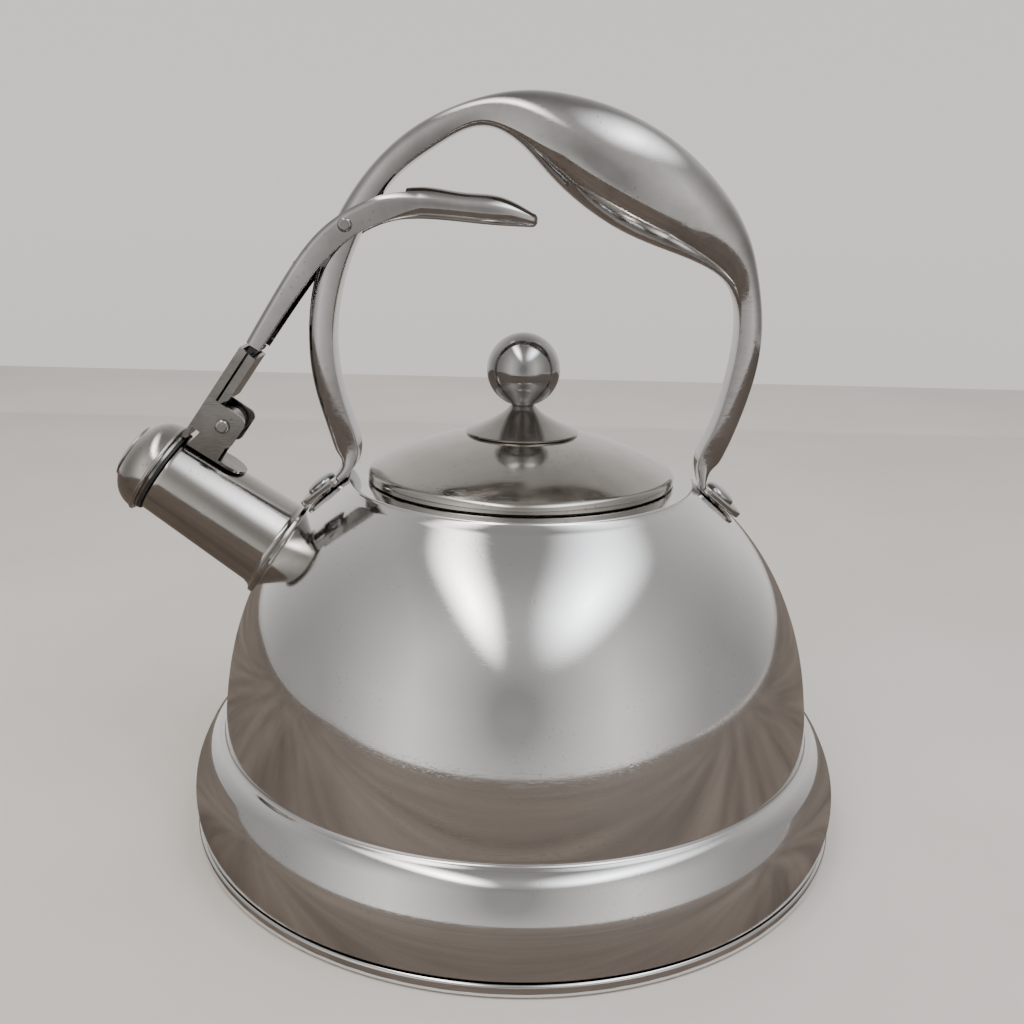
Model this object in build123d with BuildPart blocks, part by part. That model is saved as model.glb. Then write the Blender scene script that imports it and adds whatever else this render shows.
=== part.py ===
"""Stovetop whistling kettle: mirror steel body, lift-off lid, arched handle and a lever
that swings the whistle cap off the spout.

Frame: millimetres, +Z up, origin at the middle of the base's underside. The handle,
lever, spout and cap all lie in the XZ plane, and the spout points towards -X.
"""
from build123d import *

from math import cos, radians, sin
import os

os.makedirs("parts", exist_ok=True)

# ---- driving dimensions (mm) ----
wall = 0.8  # sheet thickness of the drawn steel shells
gap = 0.3  # clearance left between curved faces of different bodies

# base and body
rim_r = 110.9
rim_top = 4.4
core_r = 105.0
floor_z = 6.4
shoulder_r = 100.6  # where the dome meets the skirt
shoulder_z = 34.4
neck_r = 57.0
neck_z = 119.0
mouth_r = 48.6

# lid and knob
lid_r = 51.1
lid_z = 119.4
collar_r = 47.6
cone_r = 18.7
cone_z = 134.4
ball_r = 12.1
ball_z = 155.1
screw_r = 2.0

# spout, in its own frame: x along the spout, y upwards across it
spout_angle = 34.5
spout_x = -82.6
spout_z = 91.5
spout_base_r = 16.0
spout_tip_r = 14.2
spout_length = 45.4
flange_r = 18.0

# cap hinge, in the spout's frame
pin_along = 37.7
pin_up = 26.8
pin_r = 1.6
ear_half = 5.2  # inner half width of the saddle's two ears
cap_r = 16.8
bracket_half = 7.5
bracket_back = 46.9  # the bracket's web, which lies behind the cap
bracket_front = 40.6
bracket_top = 52.4

# handle and lever
rivet_x = 66.0
rivet_z = 112.7
tab_slope = 38.5
tab_thick = 2.2
tab_half = 7.5
rivet_r = 2.5
pivot_x = -57.0
pivot_z = 200.1
pivot_r = 1.5
lever_half = 7.6
lever_wall = 1.2

# frame of the spout: local z runs out along the bore, local x points up across it
along = (-cos(radians(spout_angle)), 0, sin(radians(spout_angle)))
across = (sin(radians(spout_angle)), 0, cos(radians(spout_angle)))
spout_origin = (spout_x, 0, spout_z)
spout_frame = Plane(origin=spout_origin, x_dir=across, z_dir=along)
side_frame = Plane(origin=spout_origin, x_dir=along, z_dir=(0, 1, 0))
pin_frame = Plane(side_frame.from_local_coords((pin_along, pin_up, 0)), x_dir=along, z_dir=(0, 1, 0))
pivot_frame = Plane(origin=(pivot_x, 0, pivot_z), x_dir=(1, 0, 0), z_dir=(0, 1, 0))


def tab_frame(side):
    """Plane on the dome under a handle foot: x runs down the slope, z points outwards."""
    slope = radians(tab_slope)
    down = (side * cos(slope), 0, -sin(slope))
    out = (side * sin(slope), 0, cos(slope))
    return Plane(origin=(side * rivet_x, 0, rivet_z), x_dir=down, z_dir=out)


def lining(curve, thick, count=9):
    """Points one sheet thickness inside a curve that runs up the body with its inside on the left."""
    steps = [i / (count - 1) for i in range(count)]
    return [curve @ t + Vector(-(curve % t).Y, (curve % t).X) * thick for t in steps]


def turned(points):
    """A solid of revolution about the kettle's axis, from an outline of (radius, height)."""
    with BuildPart() as ring:
        with BuildSketch(Plane.XZ):
            with BuildLine():
                Polyline(*points, close=True)
            make_face()
        revolve(axis=Axis.Z)
    return ring.part


def spout_turned(points):
    """A solid of revolution about the spout's axis, from an outline of (distance along, radius)."""
    with BuildPart() as ring:
        with BuildSketch(side_frame):
            with BuildLine():
                Polyline(*points, close=True)
            make_face()
        revolve(axis=Axis(spout_origin, along))
    return ring.part


def domed_pin(frame, shank_r, half_length, head_r, head_height):
    """A pin along Y with a domed head on each end."""
    with BuildPart() as pin:
        with BuildSketch(frame):
            Circle(shank_r)
        extrude(amount=half_length, both=True)
        for end in (-1, 1):
            with BuildSketch(frame.offset(end * half_length)):
                Circle(head_r)
            extrude(amount=end * head_height)
        rims = pin.edges().group_by(Axis.Y)
        fillet([*rims[0], *rims[-1]], head_height * 0.8)
    return pin.part


def tube_r(distance):
    """Outer radius of the tapered spout tube at a distance along it."""
    return spout_base_r + (spout_tip_r - spout_base_r) * distance / spout_length


def save(part, name):
    part.label = name
    export_step(part, f"parts/{name}.step")


# ---- outlines that more than one piece needs ----
skirt_points = [(110.2, 5.2), (111.2, 11.5), (110.3, 21.5), (106.6, 30.2)]
dome_points = [(shoulder_r, shoulder_z + 1.2), (98.0, 57), (89.4, 83), (73.2, 105.6), (60.4, 116.6)]
lid_points = [(49.9, 122.8), (45.2, 125.1), (37, 128.5), (cone_r, 133.8), (0, 135.4)]

with BuildPart() as dome_block:
    with BuildSketch(Plane.XZ):
        with BuildLine():
            Spline(*dome_points)
            Polyline(dome_points[-1], (0, dome_points[-1][1]), (0, shoulder_z), dome_points[0])
        make_face()
    revolve(axis=Axis.Z)

with BuildPart() as lid_block:
    with BuildSketch(Plane.XZ):
        with BuildLine():
            Spline(*lid_points)
            Polyline(lid_points[-1], (0, lid_z), (lid_points[0][0], lid_z), lid_points[0])
        make_face()
    revolve(axis=Axis.Z)

# ---- body: dome, skirt and neck drawn from one sheet ----
with BuildPart() as body_shell:
    with BuildSketch(Plane.XZ):
        with BuildLine():
            skirt = Spline(*skirt_points)
            shelf = ThreePointArc(skirt @ 1, (104.4, 32.9), (shoulder_r + 1.0, shoulder_z - 0.2))
            ThreePointArc(shelf @ 1, (shoulder_r + 0.3, shoulder_z + 0.2), dome_points[0])
            dome = Spline(*dome_points)
            flare = ThreePointArc(dome @ 1, (58.6, 117.9), (neck_r + 0.9, neck_z - 0.5))
            ThreePointArc(flare @ 1, (neck_r + 0.6, neck_z - 0.1), (neck_r, neck_z))
            ring = Line((neck_r, neck_z), (mouth_r + 1.6, neck_z))
            turn = ThreePointArc(ring @ 1, (mouth_r + 0.5, neck_z - 0.5), (mouth_r, neck_z - 1.6))
            lip = Line(turn @ 1, (mouth_r, neck_z - 7))
            under_dome = Spline(*lining(dome, wall))
            under_skirt = Spline(*lining(skirt, wall))
            Polyline(lip @ 1, (mouth_r + wall, neck_z - 7), (mouth_r + wall, neck_z - 1.6),
                     (mouth_r + 1.6, neck_z - wall), (neck_r, neck_z - wall), under_dome @ 1)
            Polyline(under_dome @ 0, (shoulder_r - 0.4, shoulder_z - 0.6), (103.9, 32.2), under_skirt @ 1)
            Line(under_skirt @ 0, skirt @ 0)
        make_face()
    revolve(axis=Axis.Z)
    with BuildSketch(spout_frame.offset(-12)):
        Circle(spout_tip_r)
    extrude(amount=24, mode=Mode.SUBTRACT)
    for side in (-1, 1):
        with BuildSketch(tab_frame(side).offset(-6)):
            Circle(rivet_r)
        extrude(amount=8, mode=Mode.SUBTRACT)
save(body_shell.part, "body_shell")

# ---- encapsulated base: inner floor, heat-spreading core and the cover with its bright rim ----
pan_r = 109.2
pan_wall_top = 8.4
floor_points = [(0, floor_z - wall), (pan_r, floor_z - wall), (pan_r, pan_wall_top),
                (pan_r - wall, pan_wall_top), (pan_r - wall, floor_z), (0, floor_z)]
save(turned(floor_points), "bottom_pan")

cover_t = 0.9
save(turned([(0, cover_t), (core_r, cover_t), (core_r, floor_z - wall), (0, floor_z - wall)]), "base_core")

rim_inner = core_r + 0.1
with BuildPart() as base_cover:
    with BuildSketch(Plane.XZ):
        with BuildLine():
            ThreePointArc((rim_r - 1.6, 0), (rim_r - 0.4, 0.5), (rim_r, 1.7))
            Line((rim_r, 1.7), (rim_r, rim_top - 1.0))
            ThreePointArc((rim_r, rim_top - 1.0), (rim_r - 0.3, rim_top - 0.3), (rim_r - 1.0, rim_top))
            Polyline((rim_r - 1.0, rim_top), (rim_inner, rim_top), (rim_inner, cover_t), (0, cover_t),
                     (0, 0), (rim_r - 1.6, 0))
        make_face()
    revolve(axis=Axis.Z)
save(base_cover.part, "base_cover")

# ---- lid: shallow dome with a turned-down rim, collar that drops into the mouth, and knob ----
with BuildPart() as lid_shell:
    with BuildSketch(Plane.XZ):
        with BuildLine():
            crown = Spline(*lid_points)
            under_crown = Spline(*lining(crown, wall))
            edge = ThreePointArc((lid_r, lid_z + 1.2), (lid_r - 0.3, 121.9), crown @ 0)
            Line((lid_r, lid_z), edge @ 0)
            Line(crown @ 1, under_crown @ 1)
            Polyline(under_crown @ 0, (lid_r - 1.1, 121.4), (lid_r - 0.9, lid_z), (lid_r, lid_z))
        make_face()
    revolve(axis=Axis.Z)
    Cylinder(screw_r + 0.1, 2 * ball_z, mode=Mode.SUBTRACT)
save(lid_shell.part, "lid_shell")

collar_in = collar_r - wall
save(turned([(collar_in, 110.5), (collar_r, 110.5), (collar_r, 122.8), (42, 124.4), (42, 123.6),
             (collar_in, 122.0)]), "lid_collar")

cone_top = 143.8
with BuildPart() as knob_cone:
    with BuildSketch(Plane.XZ):
        with BuildLine():
            Spline((cone_r, cone_z + 0.3), (14.1, 136.6), (7.5, 140.1), (4.9, 142.2), (3.8, cone_top))
            Polyline((3.8, cone_top), (screw_r + 0.1, cone_top), (screw_r + 0.1, 131),
                     (cone_r, 131), (cone_r, cone_z + 0.3))
        make_face()
    revolve(axis=Axis.Z)
    add(lid_block.part, mode=Mode.SUBTRACT)
save(knob_cone.part, "knob_cone")

screw_top = 151.0
with BuildPart() as knob_ball:
    with Locations((0, 0, ball_z)):
        Sphere(ball_r)
    with Locations((0, 0, cone_top)):
        Cylinder(6, 4, align=(Align.CENTER, Align.CENTER, Align.MAX), mode=Mode.SUBTRACT)
    Cylinder(screw_r, 2 * screw_top, mode=Mode.SUBTRACT)
save(knob_ball.part, "knob_ball")

washer_z = 133.5
save(turned([(screw_r + 0.1, washer_z), (7, washer_z), (7, washer_z + 0.8), (screw_r + 0.1, washer_z + 0.8)]),
     "knob_washer")
save(turned([(0, washer_z - 2.2), (3.6, washer_z - 2.2), (4.5, washer_z - 1.4), (4.5, washer_z),
             (screw_r, washer_z), (screw_r, screw_top), (0, screw_top)]), "knob_screw")

# ---- spout: tapered tube, collar that hugs the dome, and the saddle that carries the hinge ----
inlet = -8
with BuildPart() as spout_tube:
    for thinner, mode in ((0, Mode.ADD), (wall, Mode.SUBTRACT)):
        with BuildSketch(spout_frame.offset(inlet)):
            Circle(tube_r(inlet) - thinner)
        with BuildSketch(spout_frame.offset(spout_length)):
            Circle(tube_r(spout_length) - thinner)
        loft(mode=mode)
    add(dome_block.part, mode=Mode.SUBTRACT)
save(spout_tube.part, "spout_tube")

with BuildPart() as spout_flange:
    with BuildSketch(side_frame):
        with BuildLine():
            ThreePointArc((3.4, tube_r(3.4) + 0.3), (1.9, tube_r(0) + 0.6), (1.2, flange_r - 0.5))
            ThreePointArc((1.2, flange_r - 0.5), (1.0, flange_r - 0.1), (0.5, flange_r))
            Polyline((0.5, flange_r), (inlet, flange_r), (inlet, tube_r(inlet) + 0.05),
                     (3.4, tube_r(3.4) + 0.05), (3.4, tube_r(3.4) + 0.3))
        make_face()
    revolve(axis=Axis(spout_origin, along))
    add(dome_block.part, mode=Mode.SUBTRACT)
save(spout_flange.part, "spout_flange")

saddle_t = 1.0
tongue_end = 23.6
saddle_end = 44.4
saddle_half = ear_half + saddle_t
ear_r = 4.4
ear_base = tube_r(saddle_end) + 0.6
low_end = side_frame.from_local_coords((tongue_end, tube_r(tongue_end) + 0.1, 0))
high_end = side_frame.from_local_coords((saddle_end, tube_r(saddle_end) + 0.1, 0))
saddle_run = high_end - low_end
saddle_frame = Plane(origin=low_end, x_dir=saddle_run, z_dir=Vector(0, 1, 0).cross(saddle_run))
saddle_length = saddle_run.length
with BuildPart() as spout_saddle:
    with BuildSketch(saddle_frame):
        with BuildLine():
            ThreePointArc((saddle_half, -saddle_half), (0, 0), (saddle_half, saddle_half))
            Polyline((saddle_half, saddle_half), (saddle_length, saddle_half),
                     (saddle_length, -saddle_half), (saddle_half, -saddle_half))
        make_face()
    extrude(amount=saddle_t)
    for end in (-1, 1):
        with BuildSketch(side_frame.offset(end * ear_half)):
            with Locations((pin_along, pin_up)):
                Circle(ear_r)
            with BuildLine():
                Polyline((pin_along - ear_r, pin_up), (pin_along - ear_r, ear_base),
                         (saddle_end - 0.5, ear_base), (pin_along + ear_r - 0.2, pin_up), close=True)
            make_face()
        extrude(amount=end * saddle_t)
    with BuildSketch(pin_frame):
        Circle(pin_r)
    extrude(amount=2 * bracket_half, both=True, mode=Mode.SUBTRACT)
save(spout_saddle.part, "spout_saddle")

save(domed_pin(pin_frame, pin_r, bracket_half + 0.2, 2.4, 1.2), "hinge_pin")

bush_r = 2.9
with BuildPart() as hinge_bush:
    with BuildSketch(pin_frame):
        Circle(bush_r)
        Circle(pin_r, mode=Mode.SUBTRACT)
    extrude(amount=ear_half - 0.1, both=True)
save(hinge_bush.part, "hinge_bush")

# ---- torsion spring: a close coil round the bush with one leg up the bracket, one on the saddle ----
coil_r = 4.6
wire_r = 0.45
coil_half = 3.6
up_leg = (bracket_back - 1.5, pin_up + 15.0, coil_half)
down_leg = (pin_along + 1.5, tube_r(32) + 1.8, -coil_half)
with BuildPart() as hinge_spring:
    with BuildLine():
        coil = Helix(1.2, 2 * coil_half, coil_r, center=(0, 0, -coil_half))
        leg_tips = [Vector(*tip) - Vector(pin_along, pin_up, 0) for tip in (down_leg, up_leg)]
        down = Spline(leg_tips[0], coil @ 0, tangents=((0.3, 1, 0), coil % 0))
        Spline(coil @ 1, leg_tips[1], tangents=(coil % 1, (0.1, 1, 0)))
    with BuildSketch(Plane(down @ 0, z_dir=down % 0)):
        Circle(wire_r)
    sweep()
save(pin_frame.location * hinge_spring.part, "hinge_spring")

# ---- cap: bracket, shell, end disc, seal and whistle plates ----
web_t = 1.0
slit = (43.3, 44.1)  # slot left along the near side of the bracket's channel
channel_foot = 35.4
ear_top = pin_up + 6.2
ear_foot = pin_up - 6.0
ear_tip = pin_along - 5.9
web_foot = 15.6
backing_r = 15.2
with BuildPart() as cap_bracket:
    with BuildSketch(side_frame):
        with BuildLine():
            Polyline((bracket_back, web_foot), (bracket_back, bracket_top),
                     (bracket_front, bracket_top - 0.6), (bracket_front, channel_foot),
                     (bracket_front + 1.7, ear_top), (ear_tip, ear_top), (ear_tip, ear_foot),
                     (bracket_back - web_t, ear_foot), (bracket_back - web_t, web_foot), close=True)
        make_face()
        fillet(vertices().group_by(Axis.X)[0], 2.6)
    extrude(amount=bracket_half, both=True)
    inner_half = bracket_half - web_t
    with BuildSketch(side_frame):
        with Locations(((bracket_front + bracket_back) / 2, 44)):
            Rectangle(bracket_back - bracket_front - 2 * web_t, 60)
        with Locations((ear_tip, 25)):
            Rectangle(2 * (bracket_back - web_t - ear_tip), 2 * (channel_foot - 25))
    extrude(amount=inner_half, both=True, mode=Mode.SUBTRACT)
    with BuildSketch(side_frame.offset(-bracket_half)):
        with Locations(((slit[0] + slit[1]) / 2, 50)):
            Rectangle(slit[1] - slit[0], 2 * (50 - ear_top))
    extrude(amount=web_t + 0.1, mode=Mode.SUBTRACT)
    for end in (-1, 1):
        with BuildSketch(side_frame.offset(end * bracket_half)):
            with Locations((bracket_back, (web_foot + ear_foot) / 2 - 1)):
                Rectangle(4, ear_foot - web_foot)
        extrude(amount=-end * 2.0, mode=Mode.SUBTRACT)
    with BuildSketch(spout_frame.offset(bracket_back - 0.1)):
        Circle(backing_r)
        with Locations((backing_r, 0)):
            Rectangle(6, 9)
        Circle(9, mode=Mode.SUBTRACT)
    extrude(amount=0.8)
    with BuildSketch(pin_frame):
        Circle(pin_r + 0.06)
    extrude(amount=2 * bracket_half, both=True, mode=Mode.SUBTRACT)
save(cap_bracket.part, "cap_bracket")

seal_at = spout_length + 0.4
seal_r = 15.0
save(spout_turned([(seal_at, 9), (seal_at, seal_r), (seal_at + 1.0, seal_r), (seal_at + 1.0, 9)]), "cap_seal")

rim_at = bracket_back + 0.8
shell_top = [(50.6, 16.0), (53.2, 15.0), (56.0, 12.7), (58.0, 9.8)]
with BuildPart() as cap_shell:
    with BuildSketch(side_frame):
        with BuildLine():
            ThreePointArc((rim_at, cap_r - 0.7), (rim_at + 0.7, cap_r), (rim_at + 1.4, cap_r - 0.5))
            outer = Spline((rim_at + 1.4, cap_r - 0.5), *shell_top)
            inner = Spline((rim_at + 1.4, cap_r - 1.4), *[(x - 0.5, r - 0.7) for x, r in shell_top])
            Polyline(inner @ 0, (rim_at, cap_r - 1.6), (rim_at, cap_r - 0.7))
            Polyline(outer @ 1, (58.0, 8.4), (57.3, 8.4), inner @ 1)
        make_face()
    revolve(axis=Axis(spout_origin, along))
save(cap_shell.part, "cap_shell")

disc_r = 9.5
with BuildPart() as cap_disc:
    with BuildSketch(side_frame):
        with BuildLine():
            ThreePointArc((58.1, disc_r), (58.5, disc_r + 0.1), (58.8, disc_r - 0.3))
            ThreePointArc((58.8, disc_r - 0.3), (60.0, 5.0), (60.3, 2.2))
            Polyline((60.3, 2.2), (59.5, 2.2), (58.1, disc_r - 2.0), (58.1, disc_r))
        make_face()
    revolve(axis=Axis(spout_origin, along))
save(cap_disc.part, "cap_disc")

plate_t = 0.5
whistle_r = 1.6
for name, plate_at, plate_r in (("whistle_inner", rim_at + 0.6, 14.4), ("whistle_outer", 53.2, 13.2)):
    save(spout_turned([(plate_at, whistle_r), (plate_at, plate_r), (plate_at + plate_t, plate_r),
                       (plate_at + plate_t, whistle_r)]), name)
ring_low = rim_at + 0.6 + plate_t
save(spout_turned([(ring_low, 8.0), (ring_low, 9.0), (53.2, 9.0), (53.2, 8.0)]), "whistle_ring")

# ---- handle: one arched bar with a leaf-shaped grip and two flat feet ----
# Each section is a lens: (x, z) of its creases, the angle of its outward direction, its height
# outside and inside the creases, and its half width.
foot = (60.5, 117.2, 51.5, 2.5, 0.3, 7.0)
sections = [
    (-foot[0], foot[1], 180 - foot[2], *foot[3:]),
    (-56.6, 121.2, 155, 3.9, 0.6, 6.4),
    (-54.9, 127.0, 187, 7.0, 0.8, 6.0),
    (-57.0, 136.5, 199, 8.0, 0.8, 6.0),
    (-60.6, 148.5, 193, 8.0, 0.8, 6.0),
    (-62.3, 163.0, 180, 8.1, 0.8, 6.0),
    (-60.5, 179.0, 170, 8.2, 0.8, 6.0),
    (-52.5, 200.5, 152, 7.8, 0.8, 6.0),
    (-42.4, 215.2, 131, 7.2, 0.9, 6.0),
    (-28.2, 226.2, 118, 7.2, 1.2, 6.3),
    (-14.0, 232.4, 103, 6.9, 2.0, 7.6),
    (-3.0, 228.4, 86, 13.0, 2.8, 10.6),
    (6.5, 220.3, 74, 21.0, 3.3, 13.2),
    (19.0, 211.0, 63, 27.0, 4.0, 15.0),
    (34.5, 202.5, 53, 26.6, 4.4, 14.8),
    (48.0, 197.3, 42, 20.5, 4.6, 13.0),
    (60.0, 191.8, 28, 12.6, 4.2, 9.8),
    (67.3, 184.0, 13, 7.6, 2.2, 7.2),
    (69.2, 174.0, 4, 7.5, 0.9, 6.2),
    (68.8, 161.0, -5, 7.9, 0.8, 6.0),
    (66.4, 147.5, -15, 7.4, 0.8, 6.0),
    (62.3, 134.6, -21, 7.2, 0.8, 6.0),
    (59.3, 126.0, -8, 6.4, 0.8, 6.0),
    (59.7, 120.9, 25, 3.8, 0.6, 6.4),
    foot,
]
with BuildPart() as handle:
    for x, z, angle, outside, inside, half in sections:
        out = (cos(radians(angle)), 0, sin(radians(angle)))
        travel = (sin(radians(angle)), 0, -cos(radians(angle)))
        with BuildSketch(Plane(origin=(x, 0, z), x_dir=out, z_dir=travel)):
            with BuildLine():
                EllipticalCenterArc((0, 0), outside, half, start_angle=-90, arc_size=180)
                EllipticalCenterArc((0, 0), inside, half, start_angle=90, arc_size=180)
            make_face()
    loft()
    for side in (-1, 1):
        with BuildSketch(tab_frame(side)):
            with Locations((0.4, 0)):
                RectangleRounded(17, 2 * tab_half, 4)
        extrude(amount=tab_thick)
        with BuildSketch(tab_frame(side)):
            Circle(rivet_r)
        extrude(amount=tab_thick, mode=Mode.SUBTRACT)
    with BuildSketch(pivot_frame):
        Circle(pivot_r + 0.06)
    extrude(amount=lever_half, both=True, mode=Mode.SUBTRACT)
save(handle.part, "handle")

with BuildPart() as handle_rivets:
    for side in (-1, 1):
        with BuildSketch(tab_frame(side).offset(-2.6)):
            Circle(4.2)
        extrude(amount=1.3)
        with BuildSketch(tab_frame(side).offset(-1.3)):
            Circle(rivet_r)
        extrude(amount=1.3 + tab_thick)
        with BuildSketch(tab_frame(side).offset(tab_thick)):
            Circle(5.4)
        head = extrude(amount=2.3)
        fillet(head.faces().sort_by(Axis(tab_frame(side).origin, tab_frame(side).z_dir)).last.edges(), 2.1)
save(handle_rivets.part, "handle_rivets")

# ---- lever: a channel that straddles the handle's left leg and a solid finger piece ----
top_points = [(-89.9, 162.8), (-77.8, 182.4), (-64.7, 199.0), (-48.5, 208.7), (-31.9, 212.1),
              (-20.0, 210.7), (-8.5, 209.7), (1.8, 204.9)]
low_points = [(1.2, 200.5), (-11.0, 200.9), (-29.0, 202.2), (-45.3, 200.8), (-58.5, 193.6),
              (-72.5, 177.8), (-85.1, 159.9)]
slot_start = (-73.0, 190.0)
slot_end = (-37.8, 212.0)
with BuildPart() as lever:
    with BuildSketch(Plane.XZ):
        with BuildLine():
            top = Spline(*top_points)
            low = Spline(*low_points)
            ThreePointArc(top @ 1, (3.4, 202.3), low @ 0)
            Line(low @ 1, top @ 0)
        make_face()
    extrude(amount=lever_half, both=True)
    finger = lever.edges().filter_by(lambda edge: edge.center().X > -30 and edge.length > 30)
    inner_half = lever_half - lever_wall
    with BuildSketch(Plane.XZ):
        with BuildLine():
            Polyline((-90.5, 160.2), (-76.8, 181.6), slot_start, (-75.0, 196.0), (slot_end[0], 216.0),
                     slot_end, (-41.0, 196.0), (-60, 186), (-84, 152), (-90.5, 160.2))
        make_face()
    extrude(amount=inner_half, both=True, mode=Mode.SUBTRACT)
    with BuildSketch(pivot_frame):
        Circle(pivot_r)
    extrude(amount=2 * lever_half, both=True, mode=Mode.SUBTRACT)
save(lever.part, "lever")

save(domed_pin(pivot_frame, pivot_r, lever_half, 2.3, 1.2), "lever_pin")

# Black plastic slider: a collar under the end of the lever and a round bead in the channel.
bead = (43.75, 50.0)
bead_r = 1.4
with BuildPart() as lever_slider:
    with BuildSketch(side_frame):
        with Locations(bead):
            Circle(bead_r)
        with BuildLine():
            Polyline((42.9, 50.0), (44.4, 50.0), (44.4, 59.0), (42.9, 59.0), close=True)
        make_face()
    extrude(amount=inner_half - 0.3, both=True)
    with BuildSketch(side_frame):
        with Locations((43.1, 54.0)):
            Rectangle(2.8, 1.4)
    extrude(amount=inner_half - 0.1, both=True)
save(lever_slider.part, "lever_slider")
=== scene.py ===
"""Looks of the stovetop whistling kettle: detailed meshes, procedural metal, light and camera.

Lengths in the geometry tables are millimetres in the row frame; every mesh is built in metres.
"""

import math

import bmesh
import bpy
import numpy as np
from mathutils import Matrix, Vector


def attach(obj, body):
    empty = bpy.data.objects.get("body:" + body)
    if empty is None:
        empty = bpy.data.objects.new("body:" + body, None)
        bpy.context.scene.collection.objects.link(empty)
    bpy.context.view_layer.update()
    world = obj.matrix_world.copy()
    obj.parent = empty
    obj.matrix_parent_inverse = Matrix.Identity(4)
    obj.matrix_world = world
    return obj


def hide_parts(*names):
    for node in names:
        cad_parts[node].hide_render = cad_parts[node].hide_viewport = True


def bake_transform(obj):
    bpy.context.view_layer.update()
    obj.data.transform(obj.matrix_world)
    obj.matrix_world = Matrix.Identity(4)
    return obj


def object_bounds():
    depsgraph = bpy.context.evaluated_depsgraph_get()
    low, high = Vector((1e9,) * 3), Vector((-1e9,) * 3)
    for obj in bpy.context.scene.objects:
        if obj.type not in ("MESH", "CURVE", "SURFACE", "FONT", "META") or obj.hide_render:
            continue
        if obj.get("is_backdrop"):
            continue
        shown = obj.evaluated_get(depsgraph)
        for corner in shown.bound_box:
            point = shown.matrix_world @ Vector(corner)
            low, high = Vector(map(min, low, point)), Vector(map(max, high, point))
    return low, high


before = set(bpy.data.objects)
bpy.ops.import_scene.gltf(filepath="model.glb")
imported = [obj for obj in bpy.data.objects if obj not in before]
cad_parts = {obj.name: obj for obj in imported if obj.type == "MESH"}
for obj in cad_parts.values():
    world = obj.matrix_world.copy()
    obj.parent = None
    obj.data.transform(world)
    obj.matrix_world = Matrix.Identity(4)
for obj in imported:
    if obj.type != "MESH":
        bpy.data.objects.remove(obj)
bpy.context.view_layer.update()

MM = 0.001


# ---- curves ----
def smooth(points, count):
    """count points along a natural cubic spline through the given ones, by chord length."""
    p = np.array(points, float)
    step = np.linalg.norm(np.diff(p[:, :2], axis=0), axis=1)
    t = np.concatenate([[0], np.cumsum(step)])
    n = len(p)
    lhs = np.eye(n)
    rhs = np.zeros_like(p)
    for i in range(1, n - 1):
        lhs[i, i - 1:i + 2] = step[i - 1], 2 * (step[i - 1] + step[i]), step[i]
        rhs[i] = 6 * ((p[i + 1] - p[i]) / step[i] - (p[i] - p[i - 1]) / step[i - 1])
    m = np.linalg.solve(lhs, rhs)
    out = []
    for s in np.linspace(0, t[-1], count):
        i = min(np.searchsorted(t, s, "right") - 1, n - 2)
        h = step[i]
        a = (t[i + 1] - s) / h
        b = (s - t[i]) / h
        bend = ((a ** 3 - a) * m[i] + (b ** 3 - b) * m[i + 1]) * h * h / 6
        out.append(tuple(a * p[i] + b * p[i + 1] + bend))
    return out


def arc(start, middle, end, count=8):
    """count points on the circle through three points."""
    a, b, c = (complex(*q) for q in (start, middle, end))
    w = (c - a) / (b - a)
    centre = (b - a) * (w - abs(w) ** 2) / (2j * w.imag) + a
    radius = abs(a - centre)
    first = np.angle(a - centre)
    turn_mid = np.angle((b - centre) / (a - centre)) % (2 * math.pi)
    turn_end = np.angle((c - centre) / (a - centre)) % (2 * math.pi)
    if turn_mid > turn_end:
        turn_end -= 2 * math.pi
    return [(centre.real + radius * math.cos(first + turn_end * k / (count - 1)),
             centre.imag + radius * math.sin(first + turn_end * k / (count - 1))) for k in range(count)]


def eased(points, radius, steps=4):
    """A closed polygon with each corner rounded off."""
    out = []
    n = len(points)
    for i in range(n):
        q = Vector(points[i])
        before = Vector(points[i - 1]) - q
        after = Vector(points[(i + 1) % n]) - q
        cut = min(radius, before.length * 0.45, after.length * 0.45)
        a = q + before.normalized() * cut
        b = q + after.normalized() * cut
        for k in range(steps + 1):
            u = k / steps
            out.append(tuple(a * (1 - u) ** 2 + q * 2 * u * (1 - u) + b * u ** 2))
    return out


def offset_inside(points, thick):
    """Points one sheet thickness to the left of an open run of points."""
    p = np.array(points)
    d = np.gradient(p, axis=0)
    d /= np.linalg.norm(d, axis=1)[:, None]
    return [tuple(q) for q in p + np.stack([-d[:, 1], d[:, 0]], axis=1) * thick]


# ---- meshes ----
def mesh_object(name, verts, faces, crease=35.0):
    """A smooth-shaded mesh with sharp edges above the crease angle in degrees."""
    mesh = bpy.data.meshes.new(name)
    mesh.from_pydata([tuple(v) for v in verts], [], faces)
    bm = bmesh.new()
    bm.from_mesh(mesh)
    bmesh.ops.remove_doubles(bm, verts=bm.verts, dist=2e-6)
    bmesh.ops.recalc_face_normals(bm, faces=bm.faces)
    bm.to_mesh(mesh)
    bm.free()
    mesh.polygons.foreach_set("use_smooth", [True] * len(mesh.polygons))
    mesh.set_sharp_from_angle(angle=math.radians(crease))
    obj = bpy.data.objects.new(name, mesh)
    bpy.context.scene.collection.objects.link(obj)
    return obj


def basis(origin, axis, side):
    """Matrix whose local z is axis and local x is side, at origin in millimetres."""
    z = Vector(axis).normalized()
    x = Vector(side).normalized()
    y = z.cross(x)
    m = Matrix((x, y, z)).transposed().to_4x4()
    m.translation = Vector(origin) * MM
    return m


UPRIGHT = basis((0, 0, 0), (0, 0, 1), (1, 0, 0))


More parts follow.
